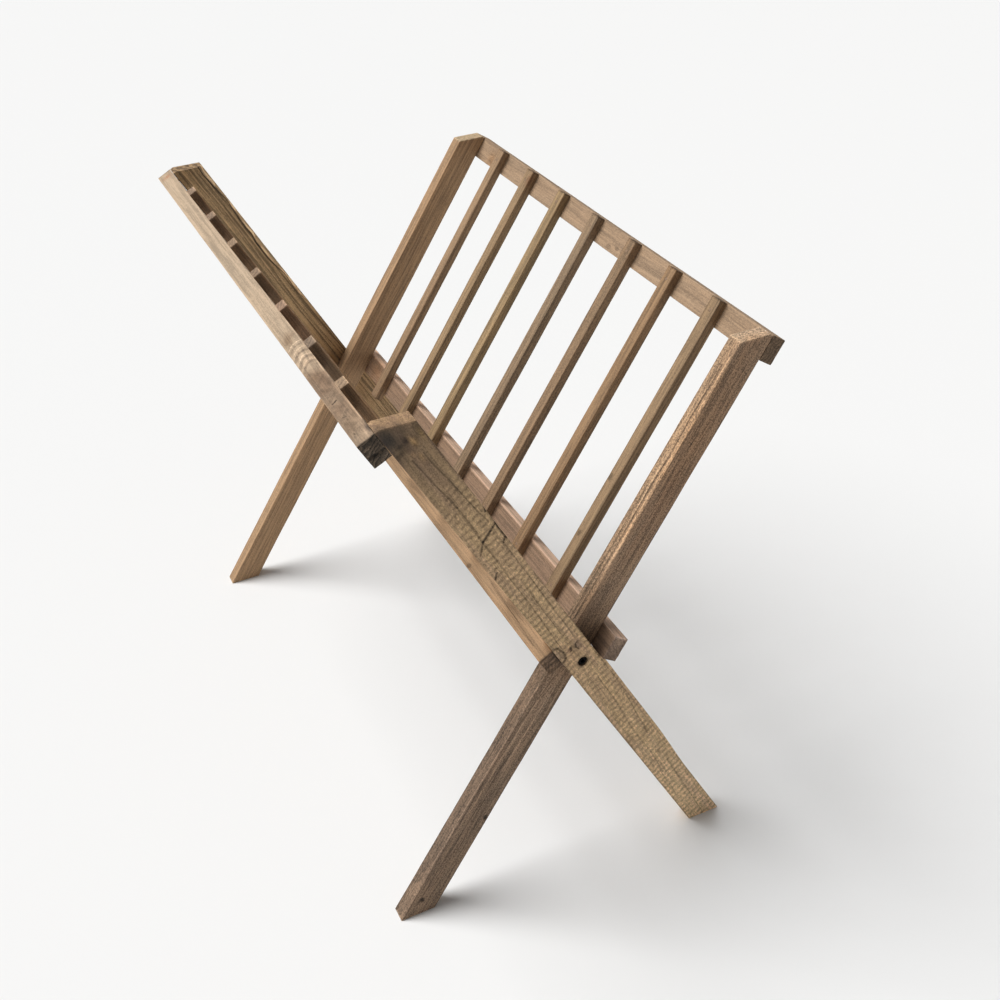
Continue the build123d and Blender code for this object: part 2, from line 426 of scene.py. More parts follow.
def outer_lower_rail():
    """Light tan, with a dark, streaked near end and painted shade along the end's edge beside the leg."""
    # Pale and dark streaks on the end, and in the last row painted shade along the end's edge beside the leg.
    end_streaks_and_shade = (
        (21, -7.0, 0.9, 4.0, (2.6, 2.6, 2.7)), (17.3, -5.5, 0.8, 4.5, (2.3, 2.3, 2.4)),
        (13.4, -5.0, 0.8, 4.0, (2.3, 2.3, 2.4)), (19.2, -6.0, 0.7, 5.0, even(0.5)),
        (15.3, -6.0, 0.7, 5.0, even(0.5)), (17, 0, 9, 1.8, (0.35, 0.34, 0.33)),
    )
    return replace(
        tinted(WARM_RAIL, 1.04, 1.01, 0.96),
        blots=(Blot((24, -10, -113), (2, 2, 4), (0.6, 0.55, 0.5)), *near_blots(NEAR, 3, end_streaks_and_shade)),
        lines=(Line((23.6, -4, -140), (23.6, -6.5, -206), 0.5, 0.5),),
        knots=(Knot((23.5, -9, -113), 1.2, 0.6),),
        end_tint=(0.44, 0.43, 0.45),
    )


def inner_near_leg():
    """Grey-brown and streaked on its near face, with a paler inner edge above the pivot than below it."""
    face = -207.6
    face_grain = (
        (-62, 4.6, -50, 7.4, 1.0, -0.18), (-150, 17.6, -40, 15.4, 1.1, -0.3),
        (-95, 10.2, -34, 8.6, 0.9, -0.28), (-206, 15.6, -120, 12.4, 0.9, 0.45),
        (-110, 12.6, -60, 12, 0.8, 0.45), (-60, 18.4, -22, 12.8, 0.9, 0.5), (-44, 14.4, -24, 15.6, 1.0, -0.2),
        (148, 13.2, 158, 11.6, 0.7, 0.6), (-215, 0.4, 215, 0.4, 0.8, 0.5),
    )
    edge_grain = (
        (-200, -205.6, -30, -206.2, 0.8, -0.3), (-190, -203, -120, -202.2, 0.7, 0.4),
        (-100, -200.4, -24, -201.4, 0.8, 0.45), (20, -204, 200, -203, 0.9, 0.6),
        (14, -200.5, 110, -200, 0.8, 0.6), (14, -202.2, 150, -201.4, 0.7, -0.25),
        (60, -205.8, 215, -205.2, 0.8, -0.25),
    )
    pin_holes = ((-132, 2.2, -131, 2.4, 2.4, 1.0), (-202, 13.5, -201.2, 13.7, 2.2, 1.0))
    return replace(
        tinted(PLAIN_LEG, 0.94, 0.94, 0.94),
        contrast=0.26,
        streak=0.9,
        ring=0.05,
        speckle=2.4,
        weather=0.8,
        edge=0.1,
        blots=(
            # Painted shade, with some stain: darkens the near face beside the pivot, where the legs cross.
            Blot((13, 12, -207), (24, 18, 7), (0.58, 0.56, 0.54)),
            Blot((-60, 10, -208), (60, 4, 6), (1.12, 1.12, 1.13)),
            Blot((-130, 8, -208), (40, 5, 6), even(0.88)),
            Blot((110, 8, -208), (26, 8, 6), (0.94, 0.92, 0.92)),
            Blot((160, 10, -208), (90, 14, 6), (1.12, 1.0, 0.88)),
            Blot((130, 20.6, -202), (115, 1.4, 20), (1.65, 1.6, 1.45)),
            Blot((-115, 20.6, -202), (170, 1.6, 26), (0.52, 0.52, 0.54)),
            Blot((-150, 10, -208), (90, 30, 30), (0.88, 0.88, 0.89)),
            Blot((219, 8, -208), (2.4, 1.8, 2), (0.6, 0.58, 0.58)),
        ),
        lines=(
            *near_lines(face, 0.0, face_grain),
            *(Line((s0, 20, y0), (s1, 20, y1), width, power) for s0, y0, s1, y1, width, power in edge_grain),
            *near_lines(face, 0.6, pin_holes),
        ),
    )


def inner_far_leg():
    """Plain and a little warmer than the others, with a pale top end."""
    look = tinted(PLAIN_LEG, 1.10, 1.07, 1.0)
    return replace(look, pith=(26.0, -20.0), ring=0.25, end_tint=(1.5, 1.75, 1.95))


def inner_top_rail():
    """Fine, straight grain with two pin knots, and a dark, pitted near end."""
    return replace(
        WARM_RAIL,
        streak=0.8,
        pith=(10.0, 70.0),
        knots=(
            Knot((215, 0, -23.5), 1.7, 0.45), Knot((217, 0, -33), 1.4, 0.45), Knot((217, 0, 169), 3.5, 0.3),
        ),
        blots=(Blot((217, 0, 169), (7, 6, 9), (1.02, 0.88, 0.72)),),
        end_tint=(0.52, 0.50, 0.48),
    )


def inner_lower_rail():
    """Pinkish brown, with painted light on its top edge and a painted shadow beside the near legs."""
    return replace(
        tinted(WARM_RAIL, 0.91, 0.89, 0.90),
        # Painted light that brightens the top edge.
        faces=(("s+", (2.2, 2.3, 2.5)),),
        knots=(Knot((17, 0, 183), 6.0, 0.3),),
        blots=(
            Blot((16, 0, 178), (12, 6, 16), (1.0, 0.86, 0.72)),
            # Painted shadow on the near end, beside the near legs.
            Blot((6, 0, -214), (20, 20, 13), (0.26, 0.24, 0.23)),
        ),
        end_tint=(1.4, 1.5, 1.65),
        end_contrast=0.4,
    )


INNER_SLAT_TINTS = (
    (1.02, 1.00, 0.98), (1.02, 1.01, 0.97), (1.02, 1.02, 0.96), (0.94, 0.94, 0.94),
    (0.94, 0.92, 0.90), (0.98, 0.94, 0.89), (0.97, 0.96, 0.93),
)
# Each outer slat's tone, darkened partly as painted shade.
OUTER_SLAT_TONES_AND_SHADE = (
    (0.86, 0.82, 0.80), (0.84, 0.80, 0.78), (0.88, 0.84, 0.80), (0.84, 0.80, 0.77),
    (0.90, 0.84, 0.82), (0.80, 0.78, 0.77), (0.92, 0.88, 0.84),
)
INNER_SLAT_PITCH = 51.4


def inner_slat(number):
    """Warm brown; some slats carry a nail mark, a knot, a pale fleck or more grit."""
    look = tinted(SLAT, *INNER_SLAT_TINTS[number - 1])
    y = (4 - number) * INNER_SLAT_PITCH
    if number == 2:
        return replace(look, blots=(Blot((222, 6, y - 4), (5, 4, 4), (0.86, 0.72, 0.68)),))
    if number in (4, 5):
        look = replace(look, weather=0.8, speckle=2.4)
    if number == 5:
        return replace(look, blots=(Blot((124.4, 6, y + 4), (2.6, 2, 1.8), (1.3, 1.3, 1.35)),))
    if number == 7:
        return replace(
            look,
            knots=(Knot((96.6, 6, y + 3.4), 1.5, 0.55), Knot((54.2, 6, y + 2.6), 1.3, 0.6)),
            lines=(Line((54, 6, y + 4.4), (49, 6, y + 1.5), 0.4, 0.5),),
        )
    return look


def outer_slat(number):
    """Darker than the inner ones, partly as painted shade, with pale ends and painted light on its face
    towards the magazines.
    """
    look = tinted(SLAT, *OUTER_SLAT_TONES_AND_SHADE[number - 1])
    # Painted light on the face towards the magazines.
    faces = (("n+", (1.7, 1.7, 1.6)), *SLAT.faces)
    return replace(look, end_tint=(1.45, 1.6, 1.85), end_contrast=0.4, edge=1.6, faces=faces)


LOOKS = {
    "outer_leg_left": (outer_near_leg(), "outer_leg_wood"),
    "outer_leg_right": (outer_far_leg(), "outer_leg_wood"),
    "outer_top_rail": (outer_top_rail(), "outer_rail_wood"),
    "outer_lower_rail": (outer_lower_rail(), "outer_rail_wood"),
    "inner_leg_left": (inner_near_leg(), "inner_leg_wood"),
    "inner_leg_right": (inner_far_leg(), "inner_leg_wood"),
    "inner_top_rail": (inner_top_rail(), "inner_rail_wood"),
    "inner_lower_rail": (inner_lower_rail(), "inner_rail_wood"),
    **{f"outer_slat_{i}": (outer_slat(i), "slat_wood") for i in SLATS},
    **{f"inner_slat_{i}": (inner_slat(i), "slat_wood") for i in SLATS},
}


# Stick shapes --------------------------------------------

def grid_lines(low, high, step):
    """Places of the grid lines between two faces, close together on the rounded edges."""
    radius = EDGE_RADIUS + EDGE_RADIUS_CHANGE
    rounding = radius * np.array([0, 0.4, 1])
    count = max(2, round((high - low - 2 * radius) / step))
    middle = np.linspace(low + radius, high - radius, count + 1)
    return np.unique(np.concatenate([low + rounding, middle, high - rounding]).round(6))


def box_surface(lines):
    """Points and outward quads of a box's surface, gridded at the given places on its three axes."""
    counts = [len(x) for x in lines]
    index = np.indices(counts)
    surface = np.zeros(counts, bool)
    for axis, count in enumerate(counts):
        surface |= (index[axis] == 0) | (index[axis] == count - 1)
    number = np.full(counts, -1)
    number[surface] = np.arange(surface.sum())
    points = np.stack([lines[axis][index[axis][surface]] for axis in range(3)], axis=1)
    quads = []
    for axis in range(3):
        for end in (0, counts[axis] - 1):
            sheet = np.take(number, end, axis=axis)
            corners = [sheet[:-1, :-1], sheet[1:, :-1], sheet[1:, 1:], sheet[:-1, 1:]]
            quad = np.stack(corners, axis=-1).reshape(-1, 4)
            faces_inward = (end == 0) == (axis != N)
            quads.append(quad[:, ::-1] if faces_inward else quad)
    return points, np.concatenate(quads)


class Stick:
    """One wooden stick of the CAD model, with its size and its worn surface."""

    def __init__(self, node, seed):
        self.node = node
        self.seed = seed
        self.look, self.slot = LOOKS[node]
        self.frame = outer if node.startswith("outer") else inner
        corners = self.frame.places(node)
        self.low, self.high = corners.min(0), corners.max(0)
        if "slat" in node:
            self.low[N] -= SLAT_SEAT
        self.is_leg = "_leg_" in node
        self.grain = (Y, S, N) if "rail" in node else (S, N, Y)
        top = corners[corners[:, S] > self.high[S] - 0.01]
        self.facet = top[:, N].max()

    def foot(self, n):
        """Where a leg's level foot is along s."""
        lean = self.frame.lean
        return (-self.frame.pivot_height - (n - self.frame.pivot_n) * math.sin(lean)) / math.cos(lean)

    def ends(self, places):
        """Where the stick's two ends are along s, for each place."""
        if not self.is_leg:
            return self.low[S], self.high[S]
        slope = math.tan(self.frame.lean)
        return self.foot(places[:, N]), self.high[S] - np.maximum(places[:, N] - self.facet, 0) * slope

    def slanted(self, places):
        """The places with a leg's ends sheared to their level cuts."""
        if not self.is_leg:
            return places
        foot, top = self.ends(places)
        middle = (self.low[N] + self.high[N]) / 2
        plain_foot, plain_top = self.foot(middle), self.high[S]
        at_foot = smooth_step(plain_foot + END_BLEND - places[:, S], 0, END_BLEND)
        at_top = smooth_step(places[:, S] - plain_top + END_BLEND, 0, END_BLEND)
        moved = places.copy()
        moved[:, S] += (foot - plain_foot) * at_foot + (top - plain_top) * at_top
        return moved

    def depths(self, places):
        """Distance below each face, by face name."""
        low, high = self.ends(places)
        return {
            "s-": places[:, S] - low,
            "s+": high - places[:, S],
            "n-": places[:, N] - self.low[N],
            "n+": self.high[N] - places[:, N],
            "y-": places[:, Y] - self.low[Y],
            "y+": self.high[Y] - places[:, Y],
        }

    def saw_marks(self, places):
        """From 0 to 1: how deep each place lies in the marks that a saw's strokes left."""
        fade = 1 - smooth_step(places[:, S], *self.look.saw_fade)
        drift = noise(places, (30, 14, 14), self.seed + 5)
        strokes = np.abs(np.sin(np.pi * (places[:, self.grain[0]] / SAW_PITCH + 0.35 * drift)))
        broken = smooth_step(noise(places, (16, 7, 7), self.seed + 6), -0.7, 0.3)
        return (1 - smooth_step(strokes, 0, 0.55)) * broken * fade

    def shaped(self, points):
        """The gridded box with worn edges, hollows, fibres, saw marks, cracks, knots, swell and wane."""
        grain_size = np.ones(3)
        grain_size[self.grain[0]] = 12.0
        worn = noise(points, 2.2 * grain_size, self.seed)
        radius = (EDGE_RADIUS + EDGE_RADIUS_CHANGE * worn)[:, None]
        middle = np.clip(points, self.base_low + radius, self.base_high - radius)
        normal = points - middle
        normal /= np.linalg.norm(normal, axis=1)[:, None]
        rounded = middle + normal * radius
        places = self.slanted(rounded)
        depth = HOLLOW * (0.5 + 0.5 * noise(places, 5 * grain_size, self.seed + 1))
        depth += FIBRE_DEPTH * (0.5 + 0.5 * noise(places, 0.9 * grain_size, self.seed + 2))
        across = [self.face_share(normal, face) for face in self.look.sawn]
        if across:
            depth += SAW_DEPTH * np.max(across, axis=0) * self.saw_marks(places)
        for line in self.look.lines:
            if line.depth:
                wander = 0.35 * noise(places, (3, 3, 3), self.seed + 3)
                distance = near_line(places, line.start, line.end) + wander
                depth += line.depth * (1 - smooth_step(distance, 0.2 * line.width, 0.9 * line.width))
        for knot in self.look.knots:
            distance = np.linalg.norm(places - np.array(knot.at), axis=1) / knot.radius
            depth += KNOT_RIDGE * np.exp(-((distance - 1) ** 2) * 8)
        places = places - normal * depth[:, None]
        if self.look.swell:
            share = (places[:, N] - self.low[N]) / (self.high[N] - self.low[N])
            places[:, N] += self.look.swell * share * self.swelling(places)
        return self.waned(places) if self.look.wane else places

    def swelling(self, places):
        """From 0 to 1: how far the inner edge stands out, at its most a little below the pivot."""
        below = -places[:, S]
        return smooth_step(below, *SWELL_RISE) * (1 - smooth_step(below, *SWELL_FALL))

    def face_share(self, normal, face):
        """How squarely each normal looks out of a face."""
        axis, side = "sny".index(face[0]), 1 if face[1] == "+" else -1
        return smooth_step(normal[:, axis] * side, 0.7, 0.95)

    def wane(self, places):
        """Width and depth of the missing corner along the inner edge, where the bark's curve was left."""
        along = places * np.array([1, 0, 0])
        present = smooth_step(places[:, S], *WANE_START) * self.look.wane
        waves = 0.5 + 0.5 * noise(along, (26, 1, 1), self.seed + 7)
        waves = waves + 0.25 * noise(along, (9, 1, 1), self.seed + 8)
        return present * (1.6 + 2.6 * waves) + 0.01, present * (2.5 + 3.0 * waves) + 0.01

    def waned(self, places):
        """The places with the inner near-side corner cut back to the wane."""
        width, depth = self.wane(places)
        n, y = self.high[N] - places[:, N], places[:, Y] - self.low[Y]
        missing = np.maximum(1 - n / width - y / depth, 0)
        push = missing / (1 / width**2 + 1 / depth**2)
        bark = 0.3 * noise(places, (5, 2, 2), self.seed + 9) * (missing > 0)
        moved = places.copy()
        moved[:, N] -= push / width + bark
        moved[:, Y] += push / depth
        return moved

    def mesh(self):
        """The stick's points in metres and its quads."""
        self.base_low, self.base_high = self.low.copy(), self.high.copy()
        if self.is_leg:
            self.base_low[S] = self.foot((self.low[N] + self.high[N]) / 2)
        steps = [SIDE_STEP] * 3
        steps[self.grain[0]] = GRID_STEP
        lines = [grid_lines(self.base_low[a], self.base_high[a], steps[a]) for a in range(3)]
        if self.is_leg:
            lines[N] = np.unique(np.append(lines[N], self.facet))
        if self.look.wane:
            fine = np.arange(self.high[N] - WANE_REACH, self.high[N] - 1, WANE_STEP)
            lines[N] = np.unique(np.concatenate([lines[N], fine]))
        points, quads = box_surface(lines)
        points = self.frame.world(self.shaped(points))
        if np.linalg.det(self.frame.axes) < 0:
            quads = quads[:, ::-1]
        return points, quads

    def surface_data(self, places):
        """Per point: the grain's own coordinates, the tint with its painted light and shade, and the saw,
        edge and end masks.
        """
        depths = self.depths(places)
        on_face = {face: 1 - smooth_step(depth, 0.25, 1.0) for face, depth in depths.items()}
        nearest = np.sort(np.stack(list(depths.values())), axis=0)
        tint = np.ones((len(places), 3))
        for face, colour in self.look.faces:
            tint *= 1 + (np.array(colour) - 1) * on_face[face][:, None]
        along = "sny"[self.grain[0]]
        end = np.maximum(on_face[along + "-"], on_face[along + "+"])
        tint *= 1 + (np.array(self.look.end_tint) - 1) * end[:, None]
        for blot in self.look.blots:
            ragged = 1 + 0.35 * noise(places, (9, 3, 5), self.seed + 11)
            distance = np.linalg.norm((places - np.array(blot.at)) / np.array(blot.reach), axis=1) * ragged
            tint *= 1 + (np.array(blot.tint) - 1) * np.exp(-distance**2)[:, None]
        if self.look.wane:
            tint *= self.bark_and_lit_wane_tint(places, depths)
        else:
            # Painted shade: points deep below the faces, on the walls of the bores, are darkened.
            tint *= (1 - 0.7 * smooth_step(nearest[0], 1.2, 2.2))[:, None]
        sawn = [on_face[face] for face in self.look.sawn] or [np.zeros(len(places))]
        edge = (1 - smooth_step(nearest[1], 0.1, 0.7)) * (nearest[0] < 1.2)
        fade = 1 - smooth_step(places[:, S], *self.look.saw_fade)
        marks = np.stack([np.max(sawn, axis=0) * fade, edge * self.look.edge, end], axis=1)
        return places[:, self.grain], tint, marks

    def bark_and_lit_wane_tint(self, places, depths):
        """Dark bark along the wane's border, and pale wood past it where the bark is gone, brightened further
        as painted light on the wane's face.
        """
        width, depth = self.wane(places)
        n, y = depths["n+"] / width, depths["y-"] / depth
        patchy = smooth_step(noise(places, (9, 3, 3), self.seed + 10), -0.2, 0.3)
        present = smooth_step(places[:, S], *WANE_START)
        border = np.exp(-(((n - 1.0) / 0.14) ** 2)) * (1 - smooth_step(y, 0.15, 0.4)) * present
        # Where the bark is gone the wood is pale, and it is brightened further as painted light on the unlit
        # wane face.
        bare_and_lit = (1 - smooth_step(n + y, 1.05, 1.2)) * smooth_step(y, 0.1, 0.3) * present
        tint = 1 - 0.92 * border[:, None] * np.ones(3)
        return tint * (1 + bare_and_lit[:, None] * (0.15 + 0.85 * patchy[:, None]) * np.array([1.7, 1.8, 2.1]))


# Steel shapes --------------------------------------------

def polygon_radius(sides, flat):
    """Radius by angle of a regular polygon whose sides lie at the given distance from its middle."""
    def radius(angle):
        half = math.pi / sides
        return flat / np.cos((angle + half) % (2 * half) - half)
    return radius


def cross_radius(arm, half_width):
    """Radius by angle of a cross-shaped recess."""
    def radius(angle):
        from_arm = np.abs((angle + math.pi / 4) % (math.pi / 2) - math.pi / 4)
        return np.minimum(arm, half_width / np.maximum(np.sin(from_arm), 1e-3))
    return radius


def thread(radius, pitch, start, end, cut_share):
    """Rings of a screw thread, cut below its radius by the given share of it."""
    heights = np.arange(start, end, pitch / 6)
    def ring(height):
        def at(angle):
            turn = (height / pitch - angle / (2 * math.pi)) % 1
            return radius * (1 - cut_share * 2 * np.abs(turn - 0.5))
        return at
    return [(ring(h), h) for h in heights]


def lofted(rings, segments=36, hollow=False):
    """Points and faces of a solid made of rings along Z; a hollow solid's last ring joins its first.

    A ring is (radius, height), and its radius is a number or a function of the angle.
    """
    angles = np.arange(segments) * 2 * math.pi / segments
    points = []
    for radius, height in rings:
        reach = radius(angles) if callable(radius) else np.full(segments, float(radius))
        ring = [reach * np.cos(angles), reach * np.sin(angles), np.full(segments, height)]
        points.append(np.stack(ring, axis=1))
    count = len(rings)
    faces = []
    for i in range(count if hollow else count - 1):
        low, high = i * segments, (i + 1) % count * segments
        for k in range(segments):
            after = (k + 1) % segments
            faces.append((low + k, low + after, high + after, high + k))
    if not hollow:
        faces.append(tuple(range(segments))[::-1])
        faces.append(tuple((count - 1) * segments + k for k in range(segments)))
    return np.concatenate(points), faces


def pivot_screw_shape(length):
    """A black round-headed coach screw with a hexagon socket; Z = 0 is the top of its head."""
    head, high = PIVOT_HEAD_RADIUS, PIVOT_HEAD_HEIGHT
    plain, point = PIVOT_PLAIN_SHARE * length, length - PIVOT_TIP
    rings = [
        (polygon_radius(6, SOCKET_RADIUS * 0.96), 0.62 * high),
        (polygon_radius(6, SOCKET_RADIUS), 0.08 * high), (SOCKET_RADIUS * 1.28, 0.0),
        (0.62 * head, 0.02 * high), (0.80 * head, 0.12 * high),
        (0.93 * head, 0.30 * high), (head, 0.55 * high), (head, 0.94 * high), (0.96 * head, high),
        (PIVOT_RADIUS * 1.08, high), (PIVOT_RADIUS, high + 0.15), (PIVOT_RADIUS, plain),
    ]
    rings += thread(PIVOT_RADIUS, PIVOT_THREAD_PITCH, plain + 0.1, point, 0.3)
    return lofted(rings + [(0.62 * PIVOT_RADIUS, point + 0.3), (0.2 * PIVOT_RADIUS, length)])


def screw_shape(length):
    """A countersunk cross-head wood screw; Z = 0 is the top of its head."""
    head = SCREW_HEAD_RADIUS
    rings = [
        (0.15, 1.55), (cross_radius(1.1, 0.32), 0.8), (cross_radius(1.75, 0.42), 0.04),
        (0.66 * head, 0.0), (0.97 * head, 0.0), (head, 0.10), (head * 0.97, 0.28),
        (SCREW_RADIUS * 1.05, SCREW_HEAD_HEIGHT), (SCREW_RADIUS * 0.85, SCREW_HEAD_HEIGHT + 0.4),
        (SCREW_RADIUS * 0.85, 0.3 * length),
    ]
    rings += thread(SCREW_RADIUS, SCREW_THREAD_PITCH, 0.31 * length, 0.88 * length, 0.35)
    return lofted(rings + [(0.5 * SCREW_RADIUS, 0.93 * length), (0.08, length)], segments=24)


def brad_shape(length):
    """A small nail with a slightly domed head; Z = 0 is the top of its head."""
    head = BRAD_HEAD_RADIUS
    rings = [
        (0.3 * head, 0.0), (0.7 * head, 0.02), (0.94 * head, 0.10), (head, 0.2), (head, 0.5),
        (0.9 * head, 0.6), (BRAD_RADIUS, 0.62), (BRAD_RADIUS, 0.9 * length), (0.06, length),
    ]
    return lofted(rings, segments=20)


def washer_shape(outer_radius, thickness):
    """A stamped washer, with one edge rolled over and the other sharper."""
    bore = PIVOT_RADIUS + 0.15
    rings = [
        (bore + 0.12, 0.0), (outer_radius - 0.25, 0.0), (outer_radius - 0.06, 0.08), (outer_radius, 0.22),
        (outer_radius, thickness - 0.04), (outer_radius - 0.06, thickness),
        (bore + 0.05, thickness), (bore, thickness - 0.06), (bore, 0.10),
    ]
    return lofted(rings, segments=48, hollow=True)


def set_along(shape, start, direction):
    """A shape moved from Z to run from a start, in metres, in a direction."""
    points, faces = shape
    z = np.array(direction, float) / np.linalg.norm(direction)
    x = np.cross([0, 1, 0] if abs(z[1]) < 0.9 else [0, 0, 1], z)
    x /= np.linalg.norm(x)
    turned = points @ np.array([x, np.cross(z, x), z])
    return turned * MM + np.asarray(start, float), faces


# Materials -----------------------------------------------

def linear(colour):
    """A linear RGBA colour from sRGB values of 0 to 255."""
    share = np.clip(np.array(colour, float) / 255, 0, 1)
    value = np.where(share <= 0.04045, share / 12.92, ((share + 0.055) / 1.055) ** 2.4)
    return (*map(float, value), 1.0)


def shade(colour, share):
    """A linear RGBA colour from sRGB values that are multiplied by a share."""
    return linear(tuple(share * c for c in colour))


class Nodes:
    """A material and short ways to build its nodes. An input is a number, a tuple or a node's output."""

    def __init__(self, name):
        self.material = bpy.data.materials.new(name)
        self.material.use_nodes = True
        self.tree = self.material.node_tree
        self.shader = self.tree.nodes["Principled BSDF"]

    def put(self, socket, value):
        if isinstance(value, bpy.types.NodeSocket):
            self.tree.links.new(value, socket)
        else:
            socket.default_value = value

    def node(self, kind, inputs, **settings):
        made = self.tree.nodes.new(kind)
        for name, value in settings.items():
            setattr(made, name, value)
        for name, value in inputs.items():
            self.put(made.inputs[name], value)
        return made

    def attribute(self, name):
        return self.node("ShaderNodeAttribute", {}, attribute_name=name).outputs

    def math(self, operation, a, b=0.0, c=0.0):
        return self.node("ShaderNodeMath", {0: a, 1: b, 2: c}, operation=operation).outputs[0]

    def times(self, a, b):
        return self.math("MULTIPLY", a, b)

    def minus(self, a, b):
        return self.math("SUBTRACT", a, b)

    def madd(self, a, b, c):
        """a times b, plus c."""
        return self.math("MULTIPLY_ADD", a, b, c)

    def vector(self, operation, a, b=(0, 0, 0), c=(0, 0, 0)):
        made = self.node("ShaderNodeVectorMath", {0: a, 1: b, 2: c}, operation=operation)
        return made.outputs["Value" if operation in ("LENGTH", "DOT_PRODUCT") else "Vector"]

    def step(self, value, low, high):
        inputs = {"Value": value, "From Min": low, "From Max": high}
        return self.node("ShaderNodeMapRange", inputs, interpolation_type="SMOOTHSTEP").outputs[0]

    def noise(self, place, size, seed, detail=2.0, roughness=0.5):
        """Noise whose features have the given size in mm along, across and through the grain."""
        shift = (seed, seed * 0.7, seed * 1.3)
        scaled = self.vector("MULTIPLY_ADD", place, tuple(1 / x for x in size), shift)
        inputs = {"Vector": scaled, "Scale": 1.0, "Detail": detail, "Roughness": roughness}
        return self.node("ShaderNodeTexNoise", inputs).outputs

    def cloud(self, *settings):
        return self.noise(*settings)["Fac"]

    def drift(self, *settings):
        """Noise in three directions, from about -0.5 to 0.5."""
        return self.vector("SUBTRACT", self.noise(*settings)["Color"], (0.5, 0.5, 0.5))

    def blend(self, factor, a, b, mode="MIX"):
        made = self.node("ShaderNodeMix", {}, data_type="RGBA", blend_type=mode)
        for index, value in ((0, factor), (6, a), (7, b)):
            self.put(made.inputs[index], value)
        return made.outputs[2]

    def scale(self, colour, factor):
        """A colour multiplied by a number."""
        factors = self.node("ShaderNodeCombineXYZ", {0: factor, 1: factor, 2: factor}).outputs[0]
        return self.vector("MULTIPLY", colour, factors)

    def ramp(self, factor, *stops):
        made = self.node("ShaderNodeValToRGB", {"Fac": factor})
        points = made.color_ramp.elements
        while len(points) < len(stops):
            points.new(0.5)
        for point, (at, colour) in zip(points, stops):
            point.position = at
            point.color = colour
        return made.outputs["Color"]


def grain_tone(nodes, place, stick):
    """The wood's growth rings, bent round its knots, and its knots' hearts."""
    look, seed = stick.look, stick.seed
    centre = (stick.low + stick.high)[list(stick.grain)] / 2
    pith = (0.0, centre[1] + look.pith[0], centre[2] + look.pith[1])
    from_pith = nodes.vector("MULTIPLY", nodes.vector("SUBTRACT", place, pith), (0, 1, 1))
    radius = nodes.vector("LENGTH", from_pith)
    hearts = 0.0
    for knot in look.knots:
        at = tuple(float(knot.at[axis]) for axis in stick.grain)
        spread = tuple(1 / (knot.radius * share) for share in (1.9, 1.0, 1.4))
        offset = nodes.vector("MULTIPLY", nodes.vector("SUBTRACT", place, at), spread)
        distance = nodes.vector("LENGTH", offset)
        bend = nodes.math("EXPONENT", nodes.times(nodes.math("POWER", distance, 2.0), -0.8))
        radius = nodes.madd(bend, 1.9 * knot.radius, radius)
        heart = nodes.minus(1.0, nodes.step(distance, 0.55, 0.85))
        from_rim = nodes.math("POWER", nodes.minus(distance, 0.8), 2.0)
        rim = nodes.math("EXPONENT", nodes.times(from_rim, -60.0))
        dark = nodes.times(nodes.math("MAXIMUM", nodes.times(heart, 0.8), rim), knot.strength)
        hearts = nodes.math("MAXIMUM", dark, hearts)
    uneven = nodes.cloud(place, (260, 7, 7), seed + 1)
    wavering = nodes.madd(radius, 1 / look.ring_pitch, nodes.times(uneven, 2.5))
    phase = nodes.math("FRACT", wavering)
    early = nodes.step(phase, 0.15, 0.85)
    late = nodes.step(phase, 0.88, 1.0)
    return nodes.minus(early, late), hearts


def drawn_lines(nodes, place, stick, colour, height):
    """The stick's cracks and long grain lines, drawn over its colour."""
    wander = nodes.drift(place, (25, 4, 4), stick.seed + 8)
    place = nodes.vector("MULTIPLY_ADD", wander, (0.0, 2.2, 2.2), place)
    for line in stick.look.lines:
        start, end = (np.array(p, float)[list(stick.grain)] for p in (line.start, line.end))
        run = end - start
        offset = nodes.vector("SUBTRACT", place, tuple(start))
        share = nodes.vector("DOT_PRODUCT", offset, tuple(run / (run @ run)))
        share = nodes.math("MINIMUM", nodes.math("MAXIMUM", share, 0.0), 1.0)
        along = nodes.node("ShaderNodeVectorMath", {0: tuple(run), "Scale": share}, operation="SCALE")
        distance = nodes.vector("LENGTH", nodes.vector("SUBTRACT", offset, along.outputs[0]))
        mask = nodes.minus(1.0, nodes.step(distance, 0.35 * line.width, line.width))
        mask = nodes.times(mask, abs(line.strength))
        target = nodes.scale(colour, 0.22 if line.strength > 0 else 2.6)
        colour = nodes.blend(mask, colour, target)
        height = nodes.minus(height, mask)
    return colour, height


def weathered(nodes, colour, bent, fine, look, seed):
    """A colour with the weather's cast on it in patches, and its dark pores."""
    patches = nodes.step(nodes.cloud(bent, (60, 5, 5), seed + 6, 3.0), 0.4, 0.7)
    cast = nodes.vector("MULTIPLY", colour, look.cast)
    colour = nodes.blend(nodes.times(patches, look.weather), colour, cast)
    pores = nodes.step(fine, 0.62, 0.74)
    return nodes.blend(nodes.times(pores, 0.3), colour, shade(look.tone(DARKEST), 0.7))


def saw_strokes(nodes, place, seed):
    """The slanted, ragged and broken marks of a saw's strokes, from 0 to 1."""
    drift = nodes.cloud(place, (30, 12, 12), seed + 9)
    ragged = nodes.cloud(place, (16, 1.8, 1.8), seed + 13, 2.0)
    separate = nodes.node("ShaderNodeSeparateXYZ", {0: place}).outputs
    leaning = nodes.madd(separate[1], SAW_SLANT, separate[0])
    turn = nodes.madd(ragged, 1.7, nodes.times(drift, 3.0))
    stroke = nodes.madd(leaning, math.pi / SAW_PITCH, turn)
    stroke = nodes.math("ABSOLUTE", nodes.math("SINE", stroke))
    stroke = nodes.minus(1.0, nodes.step(stroke, 0.1, 1.0))
    broken = nodes.step(nodes.cloud(place, (9, 4, 4), seed + 10, 2.0), 0.3, 0.55)
    return nodes.times(stroke, broken)


